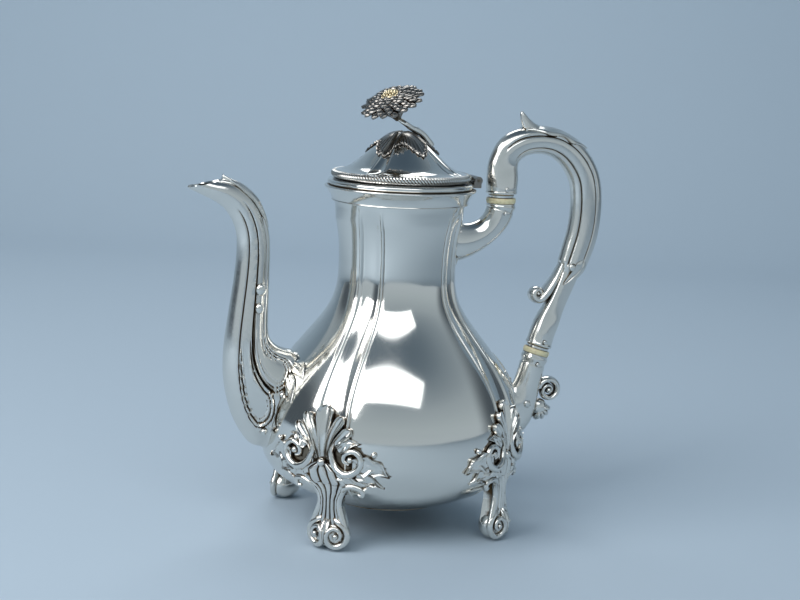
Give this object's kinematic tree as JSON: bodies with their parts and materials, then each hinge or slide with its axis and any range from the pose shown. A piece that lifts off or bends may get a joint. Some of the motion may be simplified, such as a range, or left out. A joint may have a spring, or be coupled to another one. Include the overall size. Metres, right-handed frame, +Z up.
{
  "type": "coffee pot",
  "caption": "Silver coffee pot with a lobed pear-shaped body, leafy scroll spout, loop handle between ivory rings, scroll feet and a hinged domed lid with a flower finial.",
  "frame": {"origin": "on the body's axis at the level of the table under the four feet", "axes": "+Z up along the body's axis, +X towards the handle, spout to -X, +Y to the back"},
  "size_m": [0.234, 0.1418, 0.2392],
  "materials": {
    "silver": "polished sterling silver with soft tarnish in the recesses",
    "dark_silver": "oxidised silver",
    "ivory": "turned ivory-coloured rings, satin polish",
    "gilt": "gilded silver, worn"
  },
  "bodies": {
    "pot": {"body_shell": "silver", "base_plate": "dark_silver", "mouth_collar": "silver", "spout": "silver", "spout_leaf": "silver", "upper_socket": "silver", "lower_socket": "silver", "upper_insulator": "ivory", "lower_insulator": "ivory", "handle": "silver", "thumb_leaf": "silver", "handle_curl": "silver", "upper_handle_pin": "dark_silver", "upper_socket_pin": "dark_silver", "lower_handle_pin": "dark_silver", "lower_socket_pin": "dark_silver", "foot_front_left": "silver", "foot_front_right": "silver", "foot_back_left": "silver", "foot_back_right": "silver", "hinge_body_leaf": "silver", "hinge_pin": "dark_silver"},
    "lid": {"hinge_lid_leaf": "silver", "lid_dome": "silver", "lid_rim": "silver", "lid_bezel": "silver", "finial_leaf": "silver", "finial_stem": "silver", "finial_nut": "dark_silver", "flower_calyx": "dark_silver", "flower_outer_petals": "silver", "flower_middle_petals": "silver", "flower_inner_petals": "silver", "flower_heart": "gilt"}
  },
  "joints": [
    {"name": "lid_hinge", "type": "hinge", "parent": "pot", "child": "lid", "pos_m": [0.0423, 0, 0.188], "axis": [0, 1, 0], "range_deg": [0, 80]}
  ]
}
